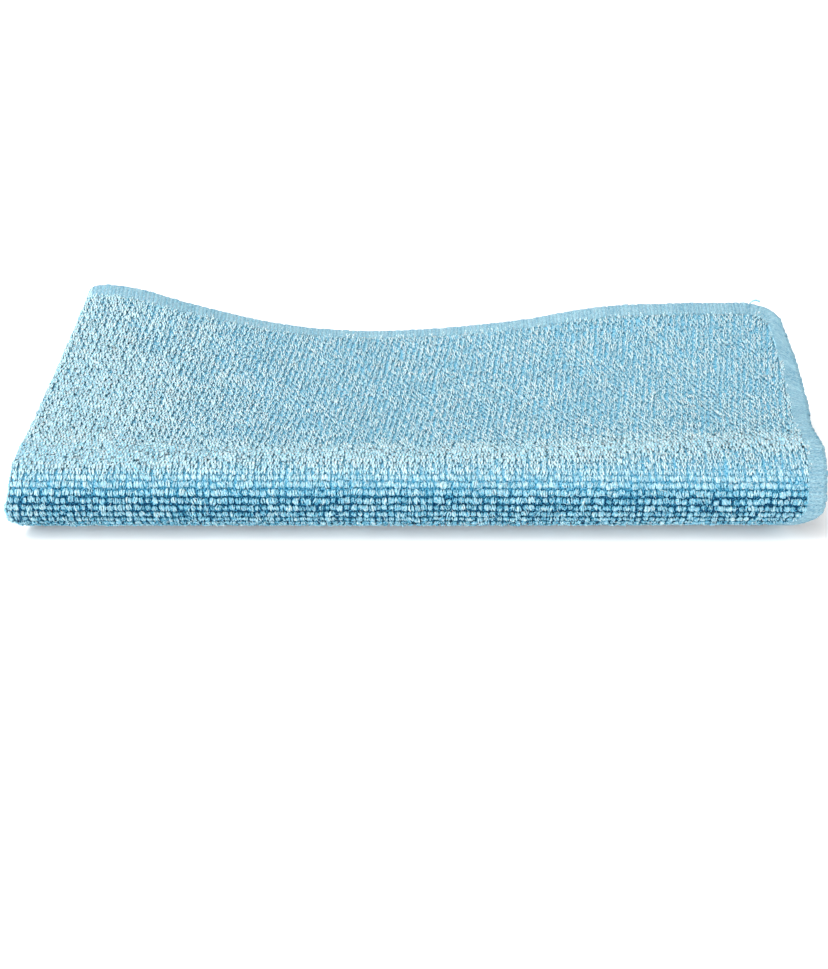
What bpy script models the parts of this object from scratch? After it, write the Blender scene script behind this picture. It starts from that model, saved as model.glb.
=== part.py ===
"""A terry cleaning cloth, folded: in half across, with the fold at the left, then back and forth
into four passes, so that eight layers lie on each other. Metres, +Z up, front at -Y, +X right.

The cloth is one swept solid. Its section is a pair of layers that hang together at the left
fold. Its path runs from the top back edge forward over the pile, round the front fold, back
underneath, up round the back fold, forward, round the inner fold and back again.
"""

import bmesh
import bpy
import numpy as np

# ---------------------------------------------------------------- driving sizes, in metres
LAYER = 0.0019  # one layer of cloth, loops included
PAIR_GAP = 0.0004  # air between the two layers of a pass
PASS_GAP = 0.0005  # air between two passes where they lie flat
MIDDLE = PAIR_GAP / 2 + LAYER / 2  # from the middle of a pass to the middle of a layer
HALF = PAIR_GAP / 2 + LAYER  # and to its outside
PITCH = 2 * HALF + PASS_GAP  # from one pass to the next
PILE = 3 * PITCH + 2 * HALF  # height of the flat pile

FRONT = -0.0390  # the foremost line of the front fold
BACK_TOP = 0.0395  # the hemmed back edge of the top pass
BACK_INNER = 0.0376  # the hemmed back edge of the inner pass
BACK_FOLD = 0.0384  # the rearmost line of the back fold
INNER_FOLD = -0.0273  # the middle of the inner front fold

HEM = 0.0048  # width of the overlocked edge
STEP = 0.0008  # width of the step from the hem up to the loops
TIP = 0.0006  # rounding of the outermost edge
HEM_THIN = 0.70  # thickness of the hem, as a share of the layer
TIP_THIN = 0.36  # thickness left at the very edge
CORNER = 0.0100  # rounding of the back right corner, seen from above

SHARES = (0.0, 0.30, 0.66, 1.0)  # how far each pass, from the bottom, follows the top one's lift

# The top surface of the pile. x: place across. crest: how far behind FRONT the ridge of the
# front fold lies. ridge, near, mid, far, back: height on the ridge, behind it by the shares of
# WAYS, and at the back edge.
TOP = (
    ("x", "crest", "ridge", "near", "mid", "far", "back"),
    (-0.103, 0.0122, 0.0197, 0.0206, 0.0238, 0.0288, 0.0326),
    (-0.084, 0.0120, 0.0200, 0.0203, 0.0234, 0.0290, 0.0341),
    (-0.062, 0.0120, 0.0201, 0.0198, 0.0214, 0.0247, 0.0277),
    (-0.040, 0.0120, 0.0201, 0.0194, 0.0195, 0.0207, 0.0220),
    (-0.017, 0.0120, 0.0201, 0.0192, 0.0188, 0.0189, 0.0194),
    (0.008, 0.0122, 0.0201, 0.0193, 0.0188, 0.0191, 0.0203),
    (0.030, 0.0130, 0.0203, 0.0197, 0.0194, 0.0206, 0.0229),
    (0.053, 0.0144, 0.0207, 0.0201, 0.0204, 0.0233, 0.0272),
    (0.076, 0.0158, 0.0212, 0.0205, 0.0211, 0.0245, 0.0284),
    (0.103, 0.0170, 0.0214, 0.0208, 0.0214, 0.0248, 0.0284),
)
WAYS = (0.0, 0.18, 0.45, 0.75, 1.0)

# The left fold and the right hem, seen from above. along: 0 to 1 is the top pass from its back
# edge forward, 1 to 2 the front fold from the top down, 2 to 3 the bottom pass, 3 to 4 the back
# fold, 4 to 5 the lower pass, 5 to 6 the inner front fold, 6 to 7 the inner pass.
EDGES = (
    ("along", "left", "right"),
    (0.00, -0.0922, 0.1034),
    (0.30, -0.0953, 0.1043),
    (0.65, -0.0991, 0.1040),
    (1.00, -0.1018, 0.1033),
    (1.35, -0.1025, 0.1031),
    (1.60, -0.1038, 0.1022),
    (1.85, -0.1010, 0.0957),
    (2.00, -0.0996, 0.0938),
    (2.50, -0.0982, 0.0965),
    (3.00, -0.0975, 0.0995),
    (4.00, -0.0970, 0.0998),
    (4.50, -0.0985, 0.0990),
    (5.00, -0.0990, 0.0975),
    (6.00, -0.0990, 0.0980),
    (6.50, -0.0970, 0.0995),
    (7.00, -0.0945, 0.1005),
)

# How finely the solid is cut: sections along each part of the path, points across, points
# round the left fold, and the places across at which the path is worked out.
ALONG = {"top": 10, "front": 13, "bottom": 4, "back": 7, "lower": 7, "inside": 7, "last": 8}
ACROSS = (0.06, 0.16, 0.29, 0.43, 0.57, 0.71, 0.85)
ROUND_FOLD = 7
PLACES = np.linspace(-0.105, 0.105, 106)

CLOTH_COLOUR = (0.30, 0.54, 0.68, 1.0)


# ---------------------------------------------------------------- smooth tables
def column(table, name):
    at = table[0].index(name)
    return np.array([row[at] for row in table[1:]])


def smooth(at, stations, values):
    """Reads a table between its stations, by cubic pieces that have the slopes of its chords."""
    at = np.clip(at, stations[0], stations[-1])
    slopes = np.gradient(values, stations)
    i = np.clip(np.searchsorted(stations, at, side="right") - 1, 0, len(stations) - 2)
    width = stations[i + 1] - stations[i]
    t = (at - stations[i]) / width
    held = 2 * t**3 - 3 * t**2 + 1
    leaving = t**3 - 2 * t**2 + t
    coming = t**3 - t**2
    bend = leaving * slopes[i] + coming * slopes[i + 1]
    return held * values[i] + (1 - held) * values[i + 1] + width * bend


def top_value(name, x):
    return float(smooth(x, column(TOP, "x"), column(TOP, name)))


def edge_value(name, along):
    return smooth(along, column(EDGES, "along"), column(EDGES, name))


# ---------------------------------------------------------------- the path
def lift(x, y):
    """How far the top pass stands above a flat pile, at x and at each y."""
    ridge = FRONT + top_value("crest", x)
    way = np.clip((y - ridge) / (BACK_TOP - ridge), 0.0, 1.0)
    heights = np.array([top_value(name, x) for name in ("ridge", "near", "mid", "far", "back")])
    return smooth(way, np.array(WAYS), heights) - PILE


def level(x, y, number):
    """Height of the middle of a pass, counted from 0 at the bottom."""
    return HALF + number * PITCH + SHARES[number] * lift(x, y)


def end_at(x, back):
    """Where a pass ends at x: the back edge, rounded off at the right corner."""
    over = np.clip((x - edge_value("right", 0.0) + CORNER) / CORNER, 0.0, 1.0)
    return back - 0.8 * CORNER * (1 - np.sqrt(1 - over**2))


def hemmed(end, inner, count):
    """Places along a pass from its free end: the edge, the hem, its step, and the rest."""
    rest = np.linspace(end - HEM - STEP, inner, count)
    return np.concatenate([[end, end - TIP, end - HEM], rest])


def pass_line(x, y, number):
    return np.stack([y, level(x, y, number)], 1)


def half_turn(middle, reach, count):
    """The inner points of a half turn from above middle, round its front, to below it."""
    a = np.linspace(0.5 * np.pi, -0.5 * np.pi, count + 2)[1:-1]
    return middle + np.stack([reach * np.cos(a), abs(reach) * np.sin(a)], 1)


def front_turn(x, top, ground):
    """The front fold from the ridge down to the ground: round, its upper part drawn back."""
    ridge, crest = top
    radius = (crest - ground) / 2
    foot = FRONT + HALF + radius
    a = np.linspace(0.5 * np.pi, -0.5 * np.pi, ALONG["front"] + 1)[1:]
    drawn = (ridge - foot) * np.clip(np.sin(a), 0, 1) ** 3
    return np.stack([foot + drawn - radius * np.cos(a), ground + radius * (1 + np.sin(a))], 1)


def path_parts(x):
    """The middle of the folded pair at x, as (y, z) points in seven parts."""
    ridge = FRONT + top_value("crest", x)
    top = pass_line(x, hemmed(end_at(x, BACK_TOP), ridge, ALONG["top"]), 3)
    front = front_turn(x, top[-1], HALF)
    rear = BACK_FOLD - HALF
    rise = (level(x, rear - 0.004, 1) - HALF) / 2
    turn = rear - rise
    y = np.linspace(front[-1, 0], turn, ALONG["bottom"] + 1)[1:]
    bottom = np.stack([y, np.full(len(y), HALF)], 1)
    lower = pass_line(x, np.linspace(turn, INNER_FOLD, ALONG["lower"]), 1)
    back = half_turn((bottom[-1] + lower[0]) / 2, rise, ALONG["back"])[::-1]
    last = pass_line(x, hemmed(end_at(x, BACK_INNER), INNER_FOLD, ALONG["last"])[::-1], 2)
    inside = half_turn((lower[-1] + last[0]) / 2, -(last[0, 1] - lower[-1, 1]) / 2, ALONG["inside"])[::-1]
    return (top, front, bottom, back, lower, inside, last)


def normals(line):
    """Unit normals of a (y, z) line, pointing out of the front fold."""
    steps = np.diff(line, axis=0)
    steps /= np.linalg.norm(steps, axis=1)[:, None]
    t = np.concatenate([steps[:1], steps[1:] + steps[:-1], steps[-1:]])
    t[np.abs(line[:, 1] - HALF) < 1e-9] = (1.0, 0.0)
    t /= np.linalg.norm(t, axis=1)[:, None]
    return np.stack([t[:, 1], -t[:, 0]], 1)


def paths():
    """The path's points and normals at every place across, and how far along each one lies."""
    parts = path_parts(0.0)
    lengths = [np.linalg.norm(np.diff(p, axis=0), axis=1) for p in parts]
    along = []
    for number, part in enumerate(parts):
        if number in (0, 4, 6):
            run = np.concatenate([[0.0], np.cumsum(lengths[number])])
            along.append(number + run / run[-1])
        else:
            along.append(number + np.arange(1, len(part) + 1) / (len(part) + (number in (3, 5))))
    lines = np.array([np.concatenate(path_parts(x)) for x in PLACES])
    return lines, np.array([normals(line) for line in lines]), np.concatenate(along)


# ---------------------------------------------------------------- the section
def section():
    """One face of the pair, from the right hem of the upper layer round the left fold.

    Each point is (share across, metres in from there, angle about the fold, share of thickness).
    """
    up = 0.5 * np.pi
    hem = [(1.0, 0.0, TIP_THIN), (1.0, TIP, HEM_THIN), (1.0, HEM, HEM_THIN), (1.0, HEM + STEP, 1.0)]
    upper = [(share, inset, up, thin) for share, inset, thin in hem]
    upper += [(share, 0.0, up, 1.0) for share in ACROSS[::-1]]
    bend = [(0.0, 0.0, a, 1.0) for a in np.linspace(up, -up, ROUND_FOLD)]
    under = [(share, inset, -up, thin) for share, inset, _, thin in upper[::-1]]
    return np.array(upper + bend + under)


def end_thinness(count):
    """The share of thickness at each section along the path: less at both hemmed ends."""
    thin = np.ones(count)
    thin[:3] = (TIP_THIN, HEM_THIN, HEM_THIN)
    thin[-3:] = (HEM_THIN, HEM_THIN, TIP_THIN)
    return thin


def read_across(x, grid):
    """grid, one row of (y, z) for each of PLACES, read at each x."""
    return np.stack([np.interp(x, PLACES, grid[:, 0]), np.interp(x, PLACES, grid[:, 1])], 1)


def face_points(outward):
    """The points of the pair's outside, or of its inside, as sections x points x 3."""
    lines, outs, along = paths()
    thin_ends = end_thinness(len(along))
    share, inset, angle, thin = section().T
    rows = []
    for i, place in enumerate(along):
        left = edge_value("left", place)
        right = edge_value("right", place)
        thickness = LAYER * np.minimum(thin, thin_ends[i])
        radius = MIDDLE + outward * thickness / 2
        base = left + HALF + share * (right - left - HALF) - inset
        x = base - radius * np.cos(angle)
        yz = read_across(x, lines[:, i]) + (radius * np.sin(angle))[:, None] * read_across(x, outs[:, i])
        rows.append(np.column_stack([x, yz]))
    return np.array(rows)


# ---------------------------------------------------------------- the solid
def closed_faces(sections, points):
    """Quads round a tube of rings, each ring being the outside and then the inside reversed."""
    ring = 2 * points
    faces = []
    for i in range(sections - 1):
        for j in range(ring):
            k = (j + 1) % ring
            faces.append((i * ring + j, i * ring + k, (i + 1) * ring + k, (i + 1) * ring + j))
    for start, flip in ((0, 1), ((sections - 1) * ring, -1)):
        for j in range(points - 1):
            face = (start + j, start + ring - 1 - j, start + ring - 2 - j, start + j + 1)
            faces.append(face[::flip])
    return faces


def cloth_material():
    material = bpy.data.materials.new("terry")
    material.use_nodes = True
    shader = material.node_tree.nodes["Principled BSDF"]
    shader.inputs["Base Color"].default_value = CLOTH_COLOUR
    shader.inputs["Roughness"].default_value = 0.95
    material.diffuse_color = CLOTH_COLOUR
    return material


def centred(rings):
    """The rings with the middle of their bounding box over the origin."""
    points = rings.reshape(-1, 3)
    middle = (points.min(axis=0) + points.max(axis=0)) / 2
    return rings - (middle[0], middle[1], 0.0)


def cloth_object():
    outside = face_points(1)
    inside = face_points(-1)
    rings = centred(np.concatenate([outside, inside[:, ::-1]], axis=1))
    mesh = bpy.data.meshes.new("cloth")
    mesh.from_pydata(rings.reshape(-1, 3).tolist(), [], closed_faces(len(rings), outside.shape[1]))
    body = bmesh.new()
    body.from_mesh(mesh)
    bmesh.ops.recalc_face_normals(body, faces=body.faces)
    body.to_mesh(mesh)
    body.free()
    mesh.shade_smooth()
    cloth = bpy.data.objects.new("cloth", mesh)
    cloth.data.materials.append(cloth_material())
    bpy.context.collection.objects.link(cloth)
    return cloth


def main():
    for thing in list(bpy.data.objects):
        bpy.data.objects.remove(thing)
    cloth_object()


main()
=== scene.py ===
# %% [markdown]
# # A folded terry cleaning cloth
# The object is one microfibre cloth of 305 by 406 mm. It is folded in half across, with the fold
# at the left, and then back and forth into four passes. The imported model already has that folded
# shape. This lesson dresses it: a thin sheet on the same folds, thousands of small loops standing
# on it, and the threads that bind its edge.

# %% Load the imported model
import math

import bpy
import numpy as np
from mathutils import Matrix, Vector


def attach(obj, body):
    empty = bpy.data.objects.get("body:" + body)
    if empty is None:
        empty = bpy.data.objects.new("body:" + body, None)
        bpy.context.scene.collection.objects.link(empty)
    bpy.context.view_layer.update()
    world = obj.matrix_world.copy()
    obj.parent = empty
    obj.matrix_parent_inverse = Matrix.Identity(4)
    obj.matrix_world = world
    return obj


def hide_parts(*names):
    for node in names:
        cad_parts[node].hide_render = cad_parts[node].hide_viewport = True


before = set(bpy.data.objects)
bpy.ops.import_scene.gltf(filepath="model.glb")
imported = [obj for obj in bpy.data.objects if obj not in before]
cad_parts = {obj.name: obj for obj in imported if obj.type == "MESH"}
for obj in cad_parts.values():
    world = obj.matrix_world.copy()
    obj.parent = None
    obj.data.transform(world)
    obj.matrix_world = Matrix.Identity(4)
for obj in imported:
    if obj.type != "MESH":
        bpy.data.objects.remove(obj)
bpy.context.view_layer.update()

# %% [markdown]
# ## Camera and light
# The camera stands in front and looks down by 33.5 degrees, as in the photograph. It could be
# aimed by eye, but its place follows from the fitted outline, so its numbers are set directly.

# %% The camera
LOOK_DOWN = math.radians(33.5)
CAMERA_PLACE = (-0.00029, -0.37508, 0.23978)
LENS_MM = 60.19
SENSOR_MM = 36.0
NEAREST = 0.01  # the camera shows nothing that is closer

bpy.ops.object.select_all(action="DESELECT")
bpy.ops.object.camera_add(location=CAMERA_PLACE, rotation=(math.pi / 2 - LOOK_DOWN, 0, 0))
camera = bpy.context.object
camera.name = "camera"
camera.data.lens = LENS_MM
camera.data.sensor_width = SENSOR_MM
camera.data.clip_start = NEAREST
bpy.context.scene.camera = camera
print("camera at", [round(n, 3) for n in camera.location])

# %% [markdown]
# A soft box stands at the upper left, a larger one hangs high above, and another stands low in
# front, so that the front fold isn't dark. The pale room gives the rest. Large boxes give the soft
# shadow of a studio, small ones would draw hard edges.

# %% Soft boxes and the room
LIGHTS = (
    ("name", "place", "side", "power"),
    ("key_box", (-0.45, -0.32, 0.56), 0.7, 2.3),
    ("top_box", (-0.50, 0.20, 1.25), 1.2, 22.0),
    ("fill_box", (-0.20, -1.15, 0.20), 0.9, 16.0),
)
ROOM_COLOUR = (1.0, 1.0, 1.0, 1.0)
ROOM_STRENGTH = 0.76


def soft_box(name, place, side, power):
    """A square area light that faces the cloth."""
    aim = Vector(place).to_track_quat("Z", "Y").to_euler()
    bpy.ops.object.light_add(type="AREA", location=place, rotation=aim)
    box = bpy.context.object
    box.name = name
    box.data.size = side
    box.data.energy = power


for row in LIGHTS[1:]:
    soft_box(*row)
room = bpy.data.worlds.new("room")
room.use_nodes = True
room.node_tree.nodes["Background"].inputs["Color"].default_value = ROOM_COLOUR
room.node_tree.nodes["Background"].inputs["Strength"].default_value = ROOM_STRENGTH
bpy.context.scene.world = room
bpy.context.scene.view_settings.view_transform = "Standard"
print(len(LIGHTS) - 1, "soft boxes")

# %% [markdown]
# ## Sizes
# These are the sizes of the folded cloth, in metres. The sheet is made on the folds of the packed
# model, so it needs the same numbers. Only low relief is added here: a hem that looks narrower
# under the loops, a small step of the right edge beside the ridge, and soft creases on the top.

# %% Layers and folds
LAYER = 0.0019  # one layer of cloth, loops included
PAIR_GAP = 0.0004  # air between the two layers of a pass
PASS_GAP = 0.0005  # air between two passes where they lie flat
MIDDLE = PAIR_GAP / 2 + LAYER / 2  # from the middle of a pass to the middle of a layer
HALF = PAIR_GAP / 2 + LAYER  # and to its outside
PITCH = 2 * HALF + PASS_GAP  # from one pass to the next
PILE = 3 * PITCH + 2 * HALF  # height of the flat pile
QUARTER = MIDDLE * math.pi / 2  # from the left fold's outermost line to where it lies flat

FRONT = -0.0390  # the foremost line of the front fold
BACK_TOP = 0.0395  # the hemmed back edge of the top pass
BACK_INNER = 0.0376  # the hemmed back edge of the inner pass
BACK_FOLD = 0.0384  # the rearmost line of the back fold
INNER_FOLD = -0.0273  # the middle of the inner front fold
CENTRE = (0.00029222, 0.00049669)  # middle of the folded cloth, which goes to the origin

HEM = 0.0040  # width of the overlocked edge that shows, 0.8 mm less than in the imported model
STEP = 0.0008  # width of the step from the hem up to the loops
TIP = 0.0006  # rounding of the outermost edge
HEM_THIN = 0.70  # thickness of the hem, as a share of the layer
TIP_THIN = 0.36  # thickness left at the very edge
CORNER = 0.0100  # rounding of the back right corner, seen from above
CORNER_DEPTH = 0.8 * CORNER

SHARES = (0.0, 0.30, 0.66, 1.0)  # how far each pass, from the bottom, follows the top one's lift
print("flat pile", round(PILE * 1000, 1), "mm high")

# %% The top surface and the outline
# x: place across. crest: how far behind FRONT the ridge of the front fold lies. ridge, near, mid,
# far, back: height on the ridge, behind it by the shares of WAYS, and at the back edge.
TOP = (
    ("x", "crest", "ridge", "near", "mid", "far", "back"),
    (-0.103, 0.0122, 0.0197, 0.0206, 0.0238, 0.0288, 0.0326),
    (-0.084, 0.0120, 0.0200, 0.0203, 0.0234, 0.0290, 0.0341),
    (-0.062, 0.0120, 0.0201, 0.0198, 0.0214, 0.0247, 0.0277),
    (-0.040, 0.0120, 0.0201, 0.0194, 0.0195, 0.0207, 0.0220),
    (-0.017, 0.0120, 0.0201, 0.0192, 0.0188, 0.0189, 0.0194),
    (0.008, 0.0122, 0.0201, 0.0193, 0.0188, 0.0191, 0.0203),
    (0.030, 0.0130, 0.0203, 0.0197, 0.0194, 0.0206, 0.0229),
    (0.053, 0.0144, 0.0207, 0.0201, 0.0204, 0.0233, 0.0272),
    (0.076, 0.0158, 0.0212, 0.0205, 0.0211, 0.0245, 0.0284),
    (0.103, 0.0170, 0.0214, 0.0208, 0.0214, 0.0248, 0.0284),
)
WAYS = (0.0, 0.18, 0.45, 0.75, 1.0)

# along: 0 to 1 is the top pass from its back edge forward, 1 to 2 the front fold, 2 to 3 the
# bottom pass, 3 to 4 the back fold, 4 to 5 the lower pass, 5 to 6 the inner front fold, 6 to 7
# the inner pass. left, right: the left fold and the right hem. grain: where a column of loops
# that starts beside the left fold would run if it kept straight.
EDGES = (
    ("along", "left", "right", "grain"),
    (0.00, -0.0922, 0.1034, -0.0922),
    (0.30, -0.0953, 0.1048, -0.0951),
    (0.65, -0.0991, 0.1043, -0.0985),
    (0.94, -0.1013, 0.1030, -0.1012),
    (1.02, -0.1018, 0.1034, -0.1018),
    (1.10, -0.1020, 0.1039, -0.1018),
    (1.35, -0.1025, 0.1031, -0.1018),
    (1.60, -0.1038, 0.1022, -0.1018),
    (1.85, -0.1010, 0.0957, -0.1017),
    (2.00, -0.0996, 0.0938, -0.1015),
    (2.50, -0.0982, 0.0965, -0.1000),
    (3.00, -0.0975, 0.0995, -0.0985),
    (4.00, -0.0970, 0.0998, -0.0975),
    (4.50, -0.0985, 0.0990, -0.0985),
    (5.00, -0.0990, 0.0975, -0.0990),
    (6.00, -0.0990, 0.0980, -0.0990),
    (6.50, -0.0970, 0.0995, -0.0970),
    (7.00, -0.0945, 0.1005, -0.0945),
)

# Soft ridges (height above 0) and troughs (below 0) of the top pass, from one plan point to
# another, fading out over reach.
CREASES = (
    ("x1", "y1", "x2", "y2", "reach", "height"),
    (-0.0900, 0.0150, -0.0480, -0.0230, 0.0060, 0.0004),
    (-0.0600, 0.0180, -0.0330, -0.0080, 0.0060, -0.0003),
    (-0.0100, 0.0100, 0.0250, -0.0120, 0.0070, -0.0002),
    (0.0300, 0.0250, 0.0450, -0.0150, 0.0060, 0.0003),
    (0.0600, 0.0100, 0.0850, -0.0050, 0.0070, -0.0003),
)
print(len(TOP) - 1, "stations across,", len(CREASES) - 1, "soft creases")

# %% [markdown]
# ## The path of the folds
# Seen from the right, the cloth is one line that runs back and forth. It could be drawn by hand as
# a curve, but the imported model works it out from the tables, so the same steps are taken here,
# with closer points. At each place across, the line gets its points and its outward normals.

# %% Reading the tables
def column(table, name):
    """One column of a table, without its heading."""
    at = table[0].index(name)
    return np.array([row[at] for row in table[1:]])


def smooth(at, stations, values):
    """Reads a table between its stations, by cubic pieces that have the slopes of its chords."""
    at = np.clip(at, stations[0], stations[-1])
    slopes = np.gradient(values, stations)
    i = np.clip(np.searchsorted(stations, at, side="right") - 1, 0, len(stations) - 2)
    width = stations[i + 1] - stations[i]
    t = (at - stations[i]) / width
    held = 2 * t**3 - 3 * t**2 + 1
    leaving = t**3 - 2 * t**2 + t
    coming = t**3 - t**2
    bend = leaving * slopes[i] + coming * slopes[i + 1]
    return held * values[i] + (1 - held) * values[i + 1] + width * bend


def top_value(name, x):
    """One value of the top surface at x."""
    return float(smooth(x, column(TOP, "x"), column(TOP, name)))


def edge_value(name, along):
    """One value of the outline, at places along the folds."""
    return smooth(along, column(EDGES, "along"), column(EDGES, name))


def creases(x, y):
    """The soft ridges and troughs of the top pass at x and at each y."""
    total = np.zeros(np.shape(y))
    for x1, y1, x2, y2, reach, height in CREASES[1:]:
        length = math.hypot(x2 - x1, y2 - y1)
        way = ((x - x1) * (x2 - x1) + (y - y1) * (y2 - y1)) / length
        aside = ((x - x1) * (y2 - y1) - (y - y1) * (x2 - x1)) / length
        past = np.maximum(np.maximum(-way, way - length), 0.0)
        total += height * np.exp(-(aside**2 + past**2) / reach**2)
    return total


print("height at the back left corner:", top_value("back", -0.095))

# %% Heights and ends of the passes at one place across
def ridge_at(x):
    """Where the ridge of the front fold lies at x."""
    return FRONT + top_value("crest", x)


def lift(x, y):
    """How far the top pass stands above a flat pile, at x and at each y."""
    ridge = ridge_at(x)
    way = np.clip((y - ridge) / (BACK_TOP - ridge), 0.0, 1.0)
    heights = np.array([top_value(name, x) for name in ("ridge", "near", "mid", "far", "back")])
    return smooth(way, np.array(WAYS), heights) - PILE


def level(x, y, number):
    """Height of the middle of a pass, counted from 0 at the bottom."""
    flat = HALF + number * PITCH
    return flat + SHARES[number] * lift(x, y) + SHARES[number] ** 2 * creases(x, y)


def end_at(x, back):
    """Where a pass ends at x: the back edge, rounded off at the right corner."""
    over = np.clip((x - edge_value("right", 0.0) + CORNER) / CORNER, 0.0, 1.0)
    return back - CORNER_DEPTH * (1 - np.sqrt(1 - over**2))


def hemmed(end, inner, count):
    """Places along a pass from its free end: the edge, the hem, its step, and the rest."""
    rest = np.linspace(end - HEM - STEP, inner, count)
    return np.concatenate([[end, end - TIP, end - HEM], rest])


def pass_line(x, y, number):
    """Points of the middle of a pass at x and at each y."""
    return np.stack([y, level(x, y, number)], 1)


print("ridge in the middle:", round(ridge_at(0.0), 4), "m, lift behind it:", lift(0.0, 0.0).round(4))

# %% The line of the folds at one place across
# How many points each part of the line gets, from the top pass to the inner one.
POINTS = {"top": 56, "front": 44, "bottom": 30, "back": 20, "lower": 30, "inside": 16, "last": 34}
BACK_LEVEL = 0.004  # how far before the back fold the height of its turn is read
DRAWN_LATE = 3  # the higher this is, the closer under the ridge the front fold is drawn back


def half_turn(middle, reach, count):
    """The inner points of a half turn from above middle, round its front, to below it."""
    a = np.linspace(0.5 * np.pi, -0.5 * np.pi, count + 2)[1:-1]
    return middle + np.stack([reach * np.cos(a), abs(reach) * np.sin(a)], 1)


def front_turn(top, ground):
    """The front fold from the ridge down to the ground: round, its upper part drawn back."""
    ridge, crest = top
    radius = (crest - ground) / 2
    foot = FRONT + HALF + radius
    a = np.linspace(0.5 * np.pi, -0.5 * np.pi, POINTS["front"] + 1)[1:]
    drawn = (ridge - foot) * np.clip(np.sin(a), 0, 1) ** DRAWN_LATE
    return np.stack([foot + drawn - radius * np.cos(a), ground + radius * (1 + np.sin(a))], 1)


def path_parts(x):
    """The middle of the folded pair at x, as (y, z) points in seven parts."""
    top = pass_line(x, hemmed(end_at(x, BACK_TOP), ridge_at(x), POINTS["top"]), 3)
    front = front_turn(top[-1], HALF)
    rear = BACK_FOLD - HALF
    rise = (level(x, rear - BACK_LEVEL, 1) - HALF) / 2
    turn = rear - rise
    y = np.linspace(front[-1, 0], turn, POINTS["bottom"] + 1)[1:]
    bottom = np.stack([y, np.full(len(y), HALF)], 1)
    lower = pass_line(x, np.linspace(turn, INNER_FOLD, POINTS["lower"]), 1)
    back = half_turn((bottom[-1] + lower[0]) / 2, rise, POINTS["back"])[::-1]
    last = pass_line(x, hemmed(end_at(x, BACK_INNER), INNER_FOLD, POINTS["last"])[::-1], 2)
    reach = (last[0, 1] - lower[-1, 1]) / 2
    inside = half_turn((lower[-1] + last[0]) / 2, -reach, POINTS["inside"])[::-1]
    return (top, front, bottom, back, lower, inside, last)


print("points of the line, part by part:", [len(part) for part in path_parts(0.0)])

# %% The lines of all places across
PLACES = np.linspace(-0.105, 0.105, 141)  # places across that get a line
LEVEL_WITHIN = 1e-9  # a point this close to the bottom pass's middle is level


def normals(line):
    """Unit normals of a (y, z) line, pointing out of the front fold."""
    steps = np.diff(line, axis=0)
    steps /= np.linalg.norm(steps, axis=1)[:, None]
    t = np.concatenate([steps[:1], steps[1:] + steps[:-1], steps[-1:]])
    t[np.abs(line[:, 1] - HALF) < LEVEL_WITHIN] = (1.0, 0.0)
    t /= np.linalg.norm(t, axis=1)[:, None]
    return np.stack([t[:, 1], -t[:, 0]], 1)


def along_values():
    """How far along the folds each point of a line lies, counted in parts."""
    along = []
    for number, part in enumerate(path_parts(0.0)):
        if number in (0, 4, 6):  # the passes whose points are unevenly spaced
            run = np.concatenate([[0.0], np.cumsum(np.linalg.norm(np.diff(part, axis=0), axis=1))])
            along.append(number + run / run[-1])
        else:
            along.append(number + np.arange(1, len(part) + 1) / (len(part) + (number in (3, 5))))
    return np.concatenate(along)


LINES = np.array([np.concatenate(path_parts(x)) for x in PLACES])
OUTS = np.array([normals(line) for line in LINES])
ALONG = along_values()
MID_LINE = LINES[len(PLACES) // 2]
RUN = np.concatenate([[0.0], np.cumsum(np.linalg.norm(np.diff(MID_LINE, axis=0), axis=1))])
LEFT, RIGHT, GRAIN = (edge_value(name, ALONG) for name in ("left", "right", "grain"))
PART_STARTS = [float(np.interp(n, ALONG, RUN)) for n in range(8)]
print("path", round(RUN[-1] * 1000, 1), "mm long, with", len(RUN), "points")

# %% [markdown]
# ## A map from the flat cloth to the folded one
# Loops and threads are easy to place on a flat cloth and hard to place on a folded one. So one
# function takes a place on the flat cloth and gives the point in space: across, counted from the
# left fold and above 0 on the upper layer, run, counted from the back edge of the top pass, and
# height, from the middle of the layer outward. A lattice or a hem modifier could do parts of this,
# but a function keeps every piece on the same folds.

# %% Points of the folded cloth
def read_table(table, x, run):
    """A table over PLACES and RUN, read at each x and run, carried on straight past its ends."""
    at = (x - PLACES[0]) / (PLACES[1] - PLACES[0])
    i = np.clip(np.floor(at).astype(int), 0, len(PLACES) - 2)
    j = np.clip(np.searchsorted(RUN, run) - 1, 0, len(RUN) - 2)
    s = (at - i)[..., None]
    t = ((run - RUN[j]) / (RUN[j + 1] - RUN[j]))[..., None]
    near = (1 - s) * table[i, j] + s * table[i + 1, j]
    far = (1 - s) * table[i, j + 1] + s * table[i + 1, j + 1]
    return (1 - t) * near + t * far


def pass_point(x, run, out):
    """The point at x and run that lies out from the middle of the pass."""
    line = read_table(LINES, x, run)
    away = read_table(OUTS, x, run)
    away /= np.linalg.norm(away, axis=-1)[..., None]
    y = line[..., 0] + out * away[..., 0] - CENTRE[1]
    z = line[..., 1] + out * away[..., 1]
    return np.stack([x - CENTRE[0], y, z], -1)


def cloth_point(across, run, height):
    """The point of the folded cloth at a place on the flat one."""
    across, run, height = np.broadcast_arrays(across, run, height)
    angle = np.clip(across / MIDDLE, -0.5 * np.pi, 0.5 * np.pi)
    beyond = np.maximum(np.abs(across) - QUARTER, 0.0)
    reach = MIDDLE + height
    x = np.interp(run, RUN, LEFT) + HALF + beyond - reach * np.cos(angle)
    return pass_point(x, run, reach * np.sin(angle))


def across_at(x, run):
    """The place across on the upper layer that lies at x."""
    return x - np.interp(run, RUN, LEFT) - HALF + QUARTER


halfway = np.array((PART_STARTS[1] + PART_STARTS[2]) / 2)
print("middle of the front fold:", pass_point(np.array(0.0), halfway, HALF).round(4))

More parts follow.
